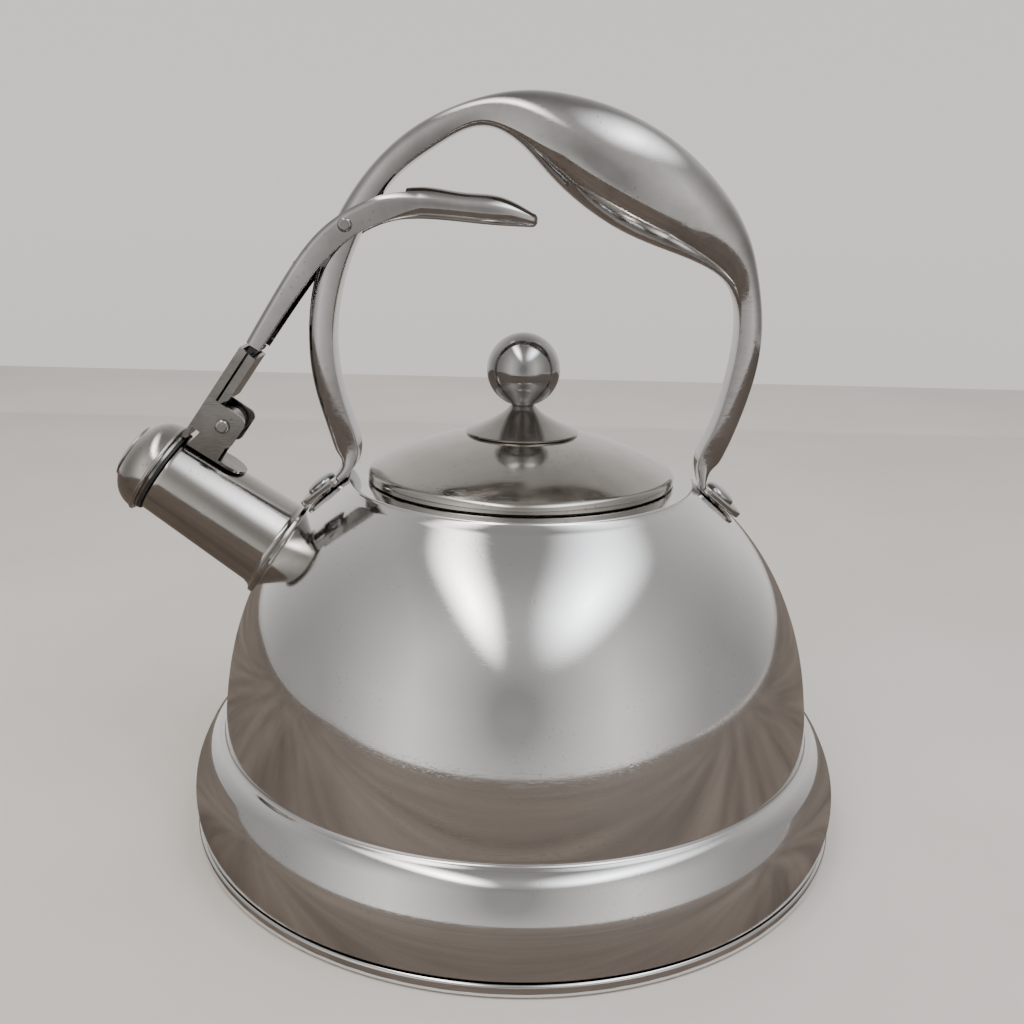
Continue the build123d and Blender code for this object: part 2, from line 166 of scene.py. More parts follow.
def wrapped(segments, ring):
    """Faces of a closed tube: segments loops of ring points, joined round to the first loop."""
    faces = []
    for s in range(segments):
        here = s * ring
        there = ((s + 1) % segments) * ring
        for k in range(ring):
            after = (k + 1) % ring
            faces.append((here + k, here + after, there + after, there + k))
    return faces


def lathe(name, outline, place=UPRIGHT, segments=256, crease=35.0):
    """A closed outline of (radius, height) turned about a frame's z axis."""
    verts = []
    for s in range(segments):
        a = 2 * math.pi * s / segments
        for r, h in outline:
            verts.append(place @ Vector((r * math.cos(a) * MM, r * math.sin(a) * MM, h * MM)))
    return mesh_object(name, verts, wrapped(segments, len(outline)), crease)


def skin(name, rings, crease=35.0):
    """A closed skin over a run of rings with equal point counts, capped at both ends."""
    n = len(rings[0])
    verts = [Vector(p) * MM for ring in rings for p in ring]
    faces = []
    for i in range(len(rings) - 1):
        for k in range(n):
            a = i * n + k
            b = i * n + (k + 1) % n
            faces.append((a, b, b + n, a + n))
    faces.append(tuple(range(n)))
    faces.append(tuple(range((len(rings) - 1) * n, len(rings) * n)))
    return mesh_object(name, verts, faces, crease)


def prism(name, outline, place, depth, bevel=0.0, segments=3):
    """A flat outline pushed out along a frame's z axis, with eased edges."""
    n = len(outline)
    verts = [place @ Vector((x * MM, y * MM, h * MM)) for h in (0, depth) for x, y in outline]
    faces = [tuple(range(n)), tuple(range(n, 2 * n))]
    faces += [(k, (k + 1) % n, n + (k + 1) % n, n + k) for k in range(n)]
    obj = mesh_object(name, verts, faces)
    if bevel:
        soften(obj, bevel, segments)
    return obj


def soften(obj, width, segments=3):
    """Eases the sharp edges of a piece."""
    bevel = obj.modifiers.new("soft_edges", "BEVEL")
    bevel.width = width * MM
    bevel.segments = segments
    bevel.limit_method = "ANGLE"
    bevel.angle_limit = math.radians(40)
    bevel.harden_normals = True


def settle(obj):
    """Makes the modifiers of a piece part of its mesh."""
    graph = bpy.context.evaluated_depsgraph_get()
    mesh = bpy.data.meshes.new_from_object(obj.evaluated_get(graph))
    obj.modifiers.clear()
    obj.data = mesh


def carve(obj, cutter, crease=35.0):
    """Cuts one closed mesh out of another."""
    cut = obj.modifiers.new("cut", "BOOLEAN")
    cut.operation = "DIFFERENCE"
    cut.solver = "EXACT"
    cut.object = cutter
    settle(obj)
    bpy.data.objects.remove(cutter)
    obj.data.polygons.foreach_set("use_smooth", [True] * len(obj.data.polygons))
    obj.data.set_sharp_from_angle(angle=math.radians(crease))


# ---- materials ----
def material(name):
    """A new node material with its tree and main shader."""
    mat = bpy.data.materials.new(name)
    mat.use_nodes = True
    tree = mat.node_tree
    shader = tree.nodes["Principled BSDF"]
    return mat, tree, shader


def node(tree, kind, **values):
    """A node with the given properties or input values set."""
    n = tree.nodes.new(kind)
    for key, value in values.items():
        if hasattr(n, key):
            setattr(n, key, value)
        else:
            n.inputs[key.replace("_", " ")].default_value = value
    return n


def noise(tree, at, scale, detail=4.0, rough=0.55, stretch=(1, 1, 1), turn=(0, 0, 0)):
    """A noise texture in the piece's own space, stretched and turned."""
    mapping = node(tree, "ShaderNodeMapping")
    mapping.inputs["Scale"].default_value = stretch
    mapping.inputs["Rotation"].default_value = turn
    tree.links.new(at.outputs["Object"], mapping.inputs["Vector"])
    n = node(tree, "ShaderNodeTexNoise", Scale=scale, Detail=detail, Roughness=rough)
    tree.links.new(mapping.outputs["Vector"], n.inputs["Vector"])
    return n.outputs["Fac"]


def remap(tree, value, low, high, to_low, to_high):
    """A clamped linear map from one range to another."""
    n = node(tree, "ShaderNodeMapRange")
    n.inputs["From Min"].default_value = low
    n.inputs["From Max"].default_value = high
    n.inputs["To Min"].default_value = to_low
    n.inputs["To Max"].default_value = to_high
    tree.links.new(value, n.inputs["Value"])
    return n.outputs["Result"]


def maths(tree, operation, a, b):
    """One arithmetic node, taking sockets or plain numbers."""
    n = tree.nodes.new("ShaderNodeMath")
    n.operation = operation
    for socket, value in zip(n.inputs, (a, b)):
        if isinstance(value, (int, float)):
            socket.default_value = value
        else:
            tree.links.new(value, socket)
    return n.outputs["Value"]


def blend_colours(tree, factor, first, second):
    """Mixes two colours, given as sockets or tuples."""
    n = tree.nodes.new("ShaderNodeMix")
    n.data_type = "RGBA"
    tree.links.new(factor, n.inputs["Factor"])
    for socket, value in ((n.inputs["A"], first), (n.inputs["B"], second)):
        if isinstance(value, tuple):
            socket.default_value = (*value, 1)
        else:
            tree.links.new(value, socket)
    return n.outputs["Result"]


def specks(tree, at, scale, size):
    """1 inside scattered small pits, 0 elsewhere."""
    cells = node(tree, "ShaderNodeTexVoronoi", Scale=scale, Randomness=1.0)
    tree.links.new(at.outputs["Object"], cells.inputs["Vector"])
    near = remap(tree, cells.outputs["Distance"], size * 0.5, size, 1.0, 0.0)
    pick = remap(tree, noise(tree, at, scale * 0.13, 1.0), 0.56, 0.6, 0.0, 1.0)
    return maths(tree, "MULTIPLY", near, pick)


def scratches(tree, at, scale, turns):
    """Fine crossing hairlines, high where a line runs."""
    total = None
    for turn in turns:
        lines = noise(tree, at, scale, 2.0, 0.6, (1, 26, 26), turn)
        lines = remap(tree, lines, 0.62, 0.74, 0.0, 1.0)
        total = lines if total is None else maths(tree, "MAXIMUM", total, lines)
    return total


HAIRLINE_SCALE = 90.0
HAIRLINE_TURNS = ((0, 0, 0.4), (0.5, 0.9, 0), (1.1, 0, 0.8), (0.2, 1.7, 1.1))
PIT_SCALE = 420.0
PIT_SIZE = 0.22


def steel(name, bright, dull, rough, worn, line_depth=0.05, speck=0.5, haze=9.0):
    """Polished stainless steel: smudges, hairline scratches and small pits."""
    mat, tree, shader = material(name)
    at = tree.nodes.new("ShaderNodeTexCoord")
    smudge = remap(tree, noise(tree, at, haze, 6.0, 0.6), 0.36, 0.68, 0.0, 1.0)
    fine = noise(tree, at, haze * 14, 5.0, 0.65)
    lines = scratches(tree, at, HAIRLINE_SCALE, HAIRLINE_TURNS)
    pits = specks(tree, at, PIT_SCALE, PIT_SIZE)
    pit_colour = tuple(c * 0.45 for c in dull)
    line_colour = tuple(c * 0.7 for c in bright)
    colour = blend_colours(tree, smudge, bright, dull)
    colour = blend_colours(tree, maths(tree, "MULTIPLY", pits, speck), colour, pit_colour)
    colour = blend_colours(tree, maths(tree, "MULTIPLY", lines, 0.12), colour, line_colour)
    tree.links.new(colour, shader.inputs["Base Color"])
    shader.inputs["Metallic"].default_value = 1.0
    mixed = maths(tree, "MULTIPLY", smudge, remap(tree, fine, 0.3, 0.75, 0.25, 1.0))
    gloss = remap(tree, mixed, 0.0, 1.0, rough, worn)
    gloss = maths(tree, "ADD", gloss, maths(tree, "MULTIPLY", lines, 0.05))
    gloss = maths(tree, "ADD", gloss, maths(tree, "MULTIPLY", pits, 0.25 * speck))
    tree.links.new(gloss, shader.inputs["Roughness"])
    bump = node(tree, "ShaderNodeBump", Strength=line_depth, Distance=0.0002)
    height = maths(tree, "SUBTRACT", maths(tree, "MULTIPLY", fine, 0.25), maths(tree, "MULTIPLY", lines, 0.6))
    height = maths(tree, "SUBTRACT", height, pits)
    tree.links.new(height, bump.inputs["Height"])
    tree.links.new(bump.outputs["Normal"], shader.inputs["Normal"])
    return mat


def plain(name, first, second, rough_low, rough_high, scale, depth):
    """A non-metal with fine mottling and grain."""
    mat, tree, shader = material(name)
    at = tree.nodes.new("ShaderNodeTexCoord")
    coarse = noise(tree, at, scale, 4.0)
    grain = noise(tree, at, scale * 22, 3.0)
    colour = blend_colours(tree, remap(tree, coarse, 0.35, 0.65, 0.0, 1.0), first, second)
    tree.links.new(colour, shader.inputs["Base Color"])
    tree.links.new(remap(tree, grain, 0.3, 0.7, rough_low, rough_high), shader.inputs["Roughness"])
    bump = node(tree, "ShaderNodeBump", Strength=depth, Distance=0.0003)
    tree.links.new(grain, bump.inputs["Height"])
    tree.links.new(bump.outputs["Normal"], shader.inputs["Normal"])
    return mat


body_steel = steel("body_steel", (0.80, 0.795, 0.79), (0.73, 0.725, 0.72), 0.055, 0.12,
                   line_depth=0.03, speck=0.15)
lid_steel = steel("lid_steel", (0.58, 0.56, 0.53), (0.44, 0.415, 0.385), 0.09, 0.20,
                  haze=26.0, speck=0.35)
# Painted shade: the handle steel is set darker than the body steel to deepen the dark reflections across the
# grip. It also colours the end tabs and the lever.
handle_steel = steel("handle_steel", (0.53, 0.52, 0.515), (0.36, 0.35, 0.345), 0.05, 0.17,
                     haze=34.0, speck=0.3)
# Painted shade: the knob steel is set darker than the body steel to darken the ball's reflections. It also
# colours the rivet heads.
knob_steel = steel("knob_steel", (0.45, 0.45, 0.455), (0.37, 0.37, 0.375), 0.045, 0.10,
                   haze=40.0, speck=0.2)
spout_steel = steel("spout_steel", (0.50, 0.485, 0.465), (0.38, 0.365, 0.345), 0.09, 0.20,
                    haze=30.0, speck=0.3)
sheet_steel = steel("sheet_steel", (0.42, 0.41, 0.40), (0.32, 0.31, 0.30), 0.16, 0.30,
                    haze=60.0, speck=0.2)
bracket_steel = steel("bracket_steel", (0.34, 0.33, 0.315), (0.23, 0.22, 0.21), 0.13, 0.28,
                      haze=60.0, speck=0.2)
cone_steel = steel("cone_steel", (0.46, 0.44, 0.42), (0.36, 0.34, 0.32), 0.14, 0.26,
                   haze=60.0, speck=0.2)
wire_steel = steel("wire_steel", (0.36, 0.35, 0.34), (0.25, 0.24, 0.23), 0.25, 0.4,
                   haze=90.0, speck=0.2)
core_metal = steel("core_metal", (0.70, 0.70, 0.71), (0.62, 0.62, 0.63), 0.35, 0.5, haze=40.0)
black_plastic = plain("black_plastic", (0.022, 0.022, 0.023), (0.04, 0.04, 0.041), 0.34, 0.55, 90.0, 0.3)
black_rubber = plain("black_rubber", (0.016, 0.016, 0.016), (0.035, 0.034, 0.033), 0.5, 0.72, 70.0, 0.35)


def dress(obj, mat, body=None, stands_for=()):
    """Gives a piece its material and the body it rides, and hides the CAD nodes it stands for."""
    obj.data.materials.clear()
    obj.data.materials.append(mat)
    if body:
        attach(obj, body)
    if stands_for:
        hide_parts(*stands_for)
    return obj


# ---- body ----
WALL = 0.8
dome = smooth([(100.6, 35.6), (98.0, 57), (89.4, 83), (73.2, 105.6), (60.4, 116.6)], 120)
skirt = smooth([(110.2, 5.2), (111.12, 11.5), (110.3, 21.5), (106.6, 30.2)], 40)
outside = (skirt + arc(skirt[-1], (104.4, 32.9), (101.6, 34.2), 12)[1:]
           + arc((101.6, 34.2), (100.9, 34.6), dome[0], 6)[1:] + dome[1:]
           + arc(dome[-1], (58.6, 117.9), (57.9, 118.5), 10)[1:]
           + arc((57.9, 118.5), (57.6, 118.9), (57.0, 119.0), 6)[1:] + [(53.5, 119.0), (50.2, 119.0)]
           + arc((50.2, 119.0), (49.1, 118.5), (48.6, 117.4), 8)[1:])
inside = offset_inside(outside, WALL)
inside = [(r, h) for r, h in inside if r > 48.6 + WALL or h < 117.4]
body_outline = outside + [(48.6, 112.3), (48.8, 112.0), (49.2, 112.0), (49.4, 112.3)] + inside[::-1]

SPOUT_ANGLE = math.radians(34.5)
ALONG = Vector((-math.cos(SPOUT_ANGLE), 0, math.sin(SPOUT_ANGLE)))
ACROSS = Vector((math.sin(SPOUT_ANGLE), 0, math.cos(SPOUT_ANGLE)))
SPOUT = Vector((-82.6, 0, 91.5))
SPOUT_PLACE = basis(SPOUT, ALONG, ACROSS)
BORE = 14.2


def open_bore(obj, radius):
    """Opens a round hole where the spout meets the dome and draws its edge to a true circle."""
    bm = bmesh.new()
    bm.from_mesh(obj.data)
    origin = SPOUT * MM

    def away(point):
        d = point - origin
        return (d - ALONG * d.dot(ALONG)), d.dot(ALONG)

    gone = []
    for face in bm.faces:
        off, depth = away(face.calc_center_median())
        if off.length < radius * MM and abs(depth) < 0.014:
            gone.append(face)
    bmesh.ops.delete(bm, geom=gone, context="FACES")
    for vert in bm.verts:
        if vert.is_boundary:
            off, depth = away(vert.co)
            vert.co = origin + ALONG * depth + off.normalized() * radius * MM
    bmesh.ops.bridge_loops(bm, edges=[edge for edge in bm.edges if edge.is_boundary])
    bmesh.ops.recalc_face_normals(bm, faces=bm.faces)
    bm.to_mesh(obj.data)
    bm.free()


body_look = lathe("body_look", body_outline, segments=512)
open_bore(body_look, BORE)
dress(body_look, body_steel, "kettle", ("body_shell",))

# ---- base ----
base_outline = (arc((109.3, 0.0), (110.5, 0.5), (110.9, 1.7), 7)
                + arc((110.9, 3.4), (110.6, 4.1), (109.9, 4.4), 7)
                + [(105.4, 4.4), (105.1, 4.2), (105.1, 0.9), (60.0, 0.9), (0.0, 0.9), (0.0, 0.0), (60.0, 0.0),
                   (100.0, 0.0), (103.0, 0.12), (106.0, 0.12)])
dress(lathe("base_look", base_outline, segments=360), body_steel, "kettle", ("base_cover",))

# ---- lid and knob ----
KNOB_BORE = 2.1
CROWN_TOP = 135.38
crown = smooth([(49.9, 122.8), (45.2, 125.1), (37, 128.5), (18.7, 133.8), (0.0, 135.4)], 70)
crown = [q for q in crown if q[0] > KNOB_BORE] + [(KNOB_BORE, CROWN_TOP)]
under = [(r, h) for r, h in offset_inside(crown, WALL) if r > KNOB_BORE]
lid_outline = ([(50.3, 119.4), (50.9, 119.4), (51.1, 119.6), (51.1, 120.6)]
               + arc((51.1, 120.6), (50.8, 121.9), crown[0], 8)[1:] + crown[1:]
               + [(KNOB_BORE, CROWN_TOP - WALL)] + under[::-1] + [(50.0, 121.4), (50.2, 119.6)])
dress(lathe("lid_look", lid_outline), lid_steel, "lid", ("lid_shell",))
collar_outline = eased([(46.8, 110.5), (47.6, 110.5), (47.6, 122.8), (42.0, 124.4), (42.0, 123.6),
                        (46.8, 122.0)], 0.3)
dress(lathe("collar_look", collar_outline), sheet_steel, "lid", ("lid_collar",))
cone_side = smooth([(18.7, 134.7), (14.1, 136.6), (7.5, 140.1), (4.9, 142.2), (3.8, 143.8)], 30)
cone_outline = cone_side + [(KNOB_BORE, 143.8), (KNOB_BORE, 135.5), (10.0, 134.95), (16.0, 134.25),
                            (18.3, 133.95), (18.7, 134.2)]
dress(lathe("cone_look", cone_outline, segments=160), cone_steel, "lid", ("knob_cone",))
BALL_RADIUS = 12.1
BALL_CENTRE = 155.1
BALL_SEAT = 143.8
ball_foot = math.asin((BALL_SEAT - BALL_CENTRE) / BALL_RADIUS)
ball_outline = [(BALL_RADIUS * math.cos(a), BALL_CENTRE + BALL_RADIUS * math.sin(a))
                for a in np.linspace(ball_foot, math.pi / 2, 72)]
ball_outline[-1] = (0.0, BALL_CENTRE + BALL_RADIUS)
ball_outline += [(0.0, 151.0), (2.0, 151.0), (2.0, BALL_SEAT)]
dress(lathe("ball_look", ball_outline, segments=128), knob_steel, "lid", ("knob_ball",))


# ---- spout ----
def dome_radius(height):
    """Outside radius of the dome at a height."""
    heights = [h for _, h in dome]
    radii = [r for r, _ in dome]
    return float(np.interp(height, heights, radii))


def foot_on_dome(angle, radius):
    """Distance along the spout at which a line parallel to its axis leaves the dome."""
    side = ACROSS * math.cos(angle) + Vector((0, 1, 0)) * math.sin(angle)
    low, high = -16.0, 16.0
    for _ in range(40):
        middle = (low + high) / 2
        p = SPOUT + side * radius + ALONG * middle
        if math.hypot(p.x, p.y) < dome_radius(p.z):
            low = middle
        else:
            high = middle
    return low


def on_spout(angle, radius, distance):
    """Point at an angle and radius about the spout's axis, a distance along it."""
    sideways = Vector((0, radius * math.sin(angle), 0))
    return SPOUT + ACROSS * radius * math.cos(angle) + sideways + ALONG * distance


FOOT_RADIUS = 16.0
TAPER = 1.8
TUBE_LENGTH = 45.4


def tube_radius(distance):
    """Outside radius of the tapering tube."""
    return FOOT_RADIUS - TAPER * distance / TUBE_LENGTH


def spout_turned(name, loop, segments=160):
    """Turns a loop of (radius, distance) about the spout, with distances that can depend on the angle."""
    rings = []
    for s in range(segments):
        a = 2 * math.pi * s / segments
        rings.append([on_spout(a, r, d) for r, d in loop(a)])
    verts = [p * MM for ring in rings for p in ring]
    return mesh_object(name, verts, wrapped(segments, len(rings[0])))


def tube_loop(angle):
    """Section of the tube's wall, its foot following the dome and its lip rounded."""
    foot = foot_on_dome(angle, 16.1) + 0.02
    inner_foot = foot_on_dome(angle, 15.3) + 0.02
    outer = [(tube_radius(d), d) for d in np.linspace(foot, 45.1, 40)]
    lip = [(14.14, 45.32), (13.95, TUBE_LENGTH), (13.65, TUBE_LENGTH), (13.47, 45.3)]
    inner = [(tube_radius(d) - WALL, d) for d in np.linspace(45.1, inner_foot, 40)]
    return outer + lip + inner


tube_look = spout_turned("tube_look", tube_loop)
dress(tube_look, spout_steel, "kettle", ("spout_tube",))


def flange_loop(angle):
    """Section of the flared collar, its foot following the dome."""
    foot = foot_on_dome(angle, 18.0) + 0.02
    inner_foot = foot_on_dome(angle, 16.3) + 0.02
    cove = arc((3.4, tube_radius(3.4) + 0.3), (1.9, 16.6), (1.2, 17.5), 10)
    rim = arc((1.2, 17.5), (1.0, 17.9), (0.5, 18.0), 5)[1:]
    face = [(r, max(d, foot_on_dome(angle, r) + 0.8)) for d, r in cove + rim]
    return [(tube_radius(face[0][1]) + 0.03, face[0][1])] + face + [(18.0, foot), (16.4, inner_foot)]


dress(spout_turned("flange_look", flange_loop), spout_steel, "kettle", ("spout_flange",))


# ---- cap ----
def cap_lathe(name, outline):
    """Turned about the spout's axis, from an outline of (distance along, radius)."""
    return lathe(name, [(r, d) for d, r in outline], SPOUT_PLACE, 160)


top = [(50.6, 16.0), (53.2, 15.0), (56.0, 12.7), (58.0, 9.8)]
cap_outer = smooth([(49.1, 16.3)] + top, 30)
cap_inner = smooth([(49.1, 15.4)] + [(d - 0.5, r - 0.7) for d, r in top], 24)
cap_outline = (arc((47.7, 16.1), (48.4, 16.8), (49.1, 16.3), 9) + cap_outer[1:] + [(58.0, 8.4), (57.3, 8.4)]
               + cap_inner[::-1] + [(47.9, 15.2), (47.7, 15.4)])
dress(cap_lathe("cap_look", cap_outline), spout_steel, "cap", ("cap_shell",))
disc_outline = (arc((58.1, 9.5), (58.5, 9.6), (58.8, 9.2), 5)
                + arc((58.8, 9.2), (60.0, 5.0), (60.3, 2.4), 12)[1:]
                + [(60.22, 2.22), (59.6, 2.2), (59.45, 2.4), (58.1, 7.5)])
dress(cap_lathe("disc_look", disc_outline), spout_steel, "cap", ("cap_disc",))

# ---- handle ----
FOOT = (60.5, 117.2, 51.5, 2.5, 0.3, 7.0)
# Each section: x, z, tilt in degrees, height outwards, depth inwards, half width.
SECTIONS = [
    (-FOOT[0], FOOT[1], 180 - FOOT[2], *FOOT[3:]),
    (-56.6, 121.2, 155, 3.9, 0.6, 6.4),
    (-54.9, 127.0, 187, 7.0, 0.8, 6.0),
    (-57.0, 136.5, 199, 8.0, 0.8, 6.0),
    (-60.6, 148.5, 193, 8.0, 0.8, 6.0),
    (-62.3, 163.0, 180, 8.1, 0.8, 6.0),
    (-60.5, 179.0, 170, 8.2, 0.8, 6.0),
    (-52.5, 200.5, 152, 7.8, 0.8, 6.0),
    (-42.4, 215.2, 131, 7.2, 0.9, 6.0),
    (-28.2, 226.2, 118, 7.2, 1.2, 6.3),
    (-14.0, 232.37, 103, 6.84, 2.0, 7.6),
    (-3.0, 228.4, 86, 13.0, 2.8, 10.6),
    (6.5, 220.3, 74, 21.0, 3.3, 13.2),
    (19.0, 211.0, 63, 27.0, 4.0, 15.0),
    (34.5, 202.5, 53, 26.6, 4.4, 14.8),
    (48.0, 197.3, 42, 20.5, 4.6, 13.0),
    (60.0, 191.8, 28, 12.6, 4.2, 9.8),
    (67.3, 184.0, 13, 7.6, 2.2, 7.2),
    (69.2, 174.0, 4, 7.5, 0.9, 6.2),
    (68.8, 161.0, -5, 7.9, 0.8, 6.0),
    (66.4, 147.5, -15, 7.4, 0.8, 6.0),
    (62.3, 134.6, -21, 7.2, 0.8, 6.0),
    (59.3, 126.0, -8, 6.4, 0.8, 6.0),
    (59.7, 120.9, 25, 3.8, 0.6, 6.4),
    FOOT,
]
handle_rings = []
for x, z, tilt, high, low, half in smooth(SECTIONS, 520):
    out = Vector((math.cos(math.radians(tilt)), 0, math.sin(math.radians(tilt))))
    swell = min(max((high - 9.0) / 14.0, 0.0), 1.0)
    belly = 0.36 * swell * (high - low)
    power = 2.0 / (3.0 - 0.7 * swell)
    ring = []
    for a in np.linspace(0, 2 * math.pi, 73)[:-1]:
        reach = (high - belly) if math.cos(a) > 0 else (low + belly)
        rise = belly + reach * math.copysign(abs(math.cos(a)) ** power, math.cos(a))
        side = half * math.copysign(abs(math.sin(a)) ** power, math.sin(a))
        ring.append(Vector((x, 0, z)) + out * rise + Vector((0, side, 0)))
    handle_rings.append(ring)
dress(skin("handle_look", handle_rings), handle_steel, "kettle", ("handle",))


def tab_place(side):
    """Where an end tab lies on the dome's shoulder."""
    slope = math.radians(38.5)
    down = Vector((side * math.cos(slope), 0, -math.sin(slope)))
    out = Vector((side * math.sin(slope), 0, math.cos(slope)))
    return basis(Vector((side * 66.0, 0, 112.7)), out, down)


def rounded_box(low, high, half, radius, steps=8):
    """Outline of a rectangle with round corners."""
    out = []
    for cx, cy, start in ((high - radius, half - radius, 0), (low + radius, half - radius, 90),
                          (low + radius, radius - half, 180), (high - radius, radius - half, 270)):
        for k in range(steps + 1):
            a = math.radians(start + 90 * k / steps)
            out.append((cx + radius * math.cos(a), cy + radius * math.sin(a)))
    return out


TAB_THICK = 2.2
RIVET_RISE = 2.3
rivet_head = [(0.0, TAB_THICK + RIVET_RISE)]
rivet_head += [(5.4 * math.sin(a), TAB_THICK + RIVET_RISE * math.cos(a) ** 0.8)
               for a in np.linspace(0.05, 1.5, 20)]
rivet_outline = rivet_head[::-1] + [(0.0, -2.6), (4.2, -2.6), (4.2, -1.3), (2.5, -1.3),
                                    (2.5, TAB_THICK), (5.35, TAB_THICK)]
for side, label in ((-1, "left"), (1, "right")):
    tab = prism(f"tab_{label}", rounded_box(-8.1, 8.9, 7.5, 4.0), tab_place(side), TAB_THICK, 0.6)
    dress(tab, handle_steel, "kettle")
    rivet = lathe(f"rivet_{label}", rivet_outline, tab_place(side), 64)
    dress(rivet, knob_steel, "kettle", ("handle_rivets",))

# ---- lever ----
TOP = [(-89.9, 162.8), (-77.8, 182.4), (-64.7, 199.0), (-48.5, 208.7), (-31.9, 212.1), (-20.0, 210.7),
       (-8.5, 209.7), (1.8, 204.9)]
LOW = [(-85.1, 159.9), (-72.5, 177.8), (-58.5, 193.6), (-45.3, 200.8), (-29.0, 202.2),
       (-11.0, 200.9), (1.2, 200.5)]
STATIONS = 160
TIP_STATIONS = 9
LEVER_HALF = 7.6
TIP_TAPER = 2.2
top_run = smooth(TOP, STATIONS)
low_run = smooth(LOW, STATIONS)
lever_rings = []
for k in range(STATIONS + TIP_STATIONS):
    u = min(k, STATIONS - 1)
    upper = Vector((top_run[u][0], 0, top_run[u][1]))
    lower = Vector((low_run[u][0], 0, low_run[u][1]))
    middle = (upper + lower) / 2
    height = (upper - lower).length
    lift = (upper - lower).normalized()
    fine = min(max((middle.x + 46) / 12, 0), 1)
    narrow = min(max((middle.x + 16) / 18, 0), 1)
    half = LEVER_HALF - TIP_TAPER * narrow ** 2
    if k >= STATIONS:
        turn = math.radians(90 * (k - STATIONS + 1) / 9.2)
        ahead = Vector((lift.z, 0, -lift.x))
        middle = middle + ahead * 2.0 * math.sin(turn)
        height *= math.cos(turn) * 0.98 + 0.02
        half = LEVER_HALF - TIP_TAPER - 3.0 * (1 - math.cos(turn))
    crown_r = min(2.4 + 2.4 * fine, height * 0.49)
    foot_r = min(0.4 + 3.4 * fine, height * 0.49)
    ring = []
    for cy, cz, r, start in ((half, height / 2, crown_r, 0), (-half, height / 2, crown_r, 90),
                             (-half, -height / 2, foot_r, 180), (half, -height / 2, foot_r, 270)):
        for j in range(7):
            a = math.radians(start + 15 * j)
            y = cy - math.copysign(r, cy) + r * math.cos(a)
            z = cz - math.copysign(r, cz) + r * math.sin(a)
            ring.append(middle + Vector((0, y, 0)) + lift * z)
    lever_rings.append(ring)
lever_look = skin("lever_look", lever_rings, 40.0)
hollow = [(-90.5, 160.2), (-76.8, 181.6), (-73.0, 190.0), (-75.0, 196.0), (-37.8, 216.0), (-37.8, 212.0),
          (-41.0, 196.0), (-60.0, 186.0), (-84.0, 152.0)]
HOLLOW_HALF = 6.4
SIDE = basis((0, HOLLOW_HALF, 0), (0, -1, 0), (1, 0, 0))
carve(lever_look, prism("hollow", hollow, SIDE, 2 * HOLLOW_HALF))
dress(lever_look, handle_steel, "lever", ("lever",))

# ---- small pieces kept from the CAD model ----
kept = {
    "bottom_pan": sheet_steel, "base_core": core_metal, "spout_saddle": bracket_steel,
    "hinge_pin": sheet_steel, "hinge_bush": black_plastic, "knob_screw": sheet_steel,
    "knob_washer": sheet_steel, "lever_pin": sheet_steel, "lever_slider": black_plastic,
    "cap_bracket": bracket_steel, "cap_seal": black_rubber, "whistle_inner": sheet_steel,
    "whistle_outer": sheet_steel, "whistle_ring": sheet_steel,
}
for name, mat in kept.items():
    dress(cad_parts[name], mat)
for name in ("spout_saddle", "cap_bracket"):
    soften(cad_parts[name], 0.18, 2)

# ---- torsion spring ----
PIN_ALONG = 37.7
PIN_ACROSS = 26.8
PIN = SPOUT + ALONG * PIN_ALONG + ACROSS * PIN_ACROSS
TURNS = 6
TURN_STEPS = 40
LEG_STEPS = 14
COIL = 4.6
COIL_HALF = 3.6
WIRE = 0.45


def at_pin(p, q, y):
    """Point beside the cap's hinge pin: along the spout, across it and sideways."""
    return PIN + ALONG * p + ACROSS * q + Vector((0, y, 0))


path = []
leg_low = (1.5, tube_radius(32) + 1.8 - PIN_ACROSS)
leg_high = (7.7, 15.0)
for k in range(LEG_STEPS):
    u = k / LEG_STEPS
    path.append(at_pin(leg_low[0] + (COIL - leg_low[0]) * math.sin(u * math.pi / 2),
                       leg_low[1] * (1 - u), -COIL_HALF))
for k in range(TURNS * TURN_STEPS + 1):
    a = 2 * math.pi * k / TURN_STEPS
    path.append(at_pin(COIL * math.cos(a), COIL * math.sin(a),
                       -COIL_HALF + 2 * COIL_HALF * k / (TURNS * TURN_STEPS)))
for k in range(1, LEG_STEPS + 1):
    u = k / LEG_STEPS
    path.append(at_pin(COIL + (leg_high[0] - COIL) * (1 - math.cos(u * math.pi / 2)),
                       leg_high[1] * u, COIL_HALF))
wire_rings = []
for k, p in enumerate(path):
    ahead = (path[min(k + 1, len(path) - 1)] - path[max(k - 1, 0)]).normalized()
    first = ahead.cross(Vector((0, 1, 0))).normalized()
    second = ahead.cross(first)
    wire_rings.append([p + first * WIRE * math.cos(a) + second * WIRE * math.sin(a)
                       for a in np.linspace(0, 2 * math.pi, 13)[:-1]])
spring = skin("spring_look", wire_rings)
spring.data.materials.append(wire_steel)
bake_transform(spring)
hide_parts("hinge_spring")


# ---- floor and light ----
def stage_plane(name, centre, size, facing, mat):
    """A flat rectangle of the stage, turned to face a direction."""
    mesh = bpy.data.meshes.new(name)
    w, h = size[0] / 2, size[1] / 2
    mesh.from_pydata([(-w, -h, 0), (w, -h, 0), (w, h, 0), (-w, h, 0)], [], [(0, 1, 2, 3)])
    obj = bpy.data.objects.new(name, mesh)
    bpy.context.scene.collection.objects.link(obj)
    turned = Vector(facing).to_track_quat("Z", "Y").to_matrix().to_4x4()
    obj.matrix_world = Matrix.Translation(centre) @ turned
    obj.data.materials.append(mat)
    obj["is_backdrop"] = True
    return obj


floor_mat = plain("floor", (0.56, 0.53, 0.50), (0.60, 0.57, 0.54), 0.55, 0.7, 6.0, 0.1)
stage_plane("floor_plane", (0.0, 0.16, -0.0001), (3.4, 1.68), (0, 0, 1), floor_mat)


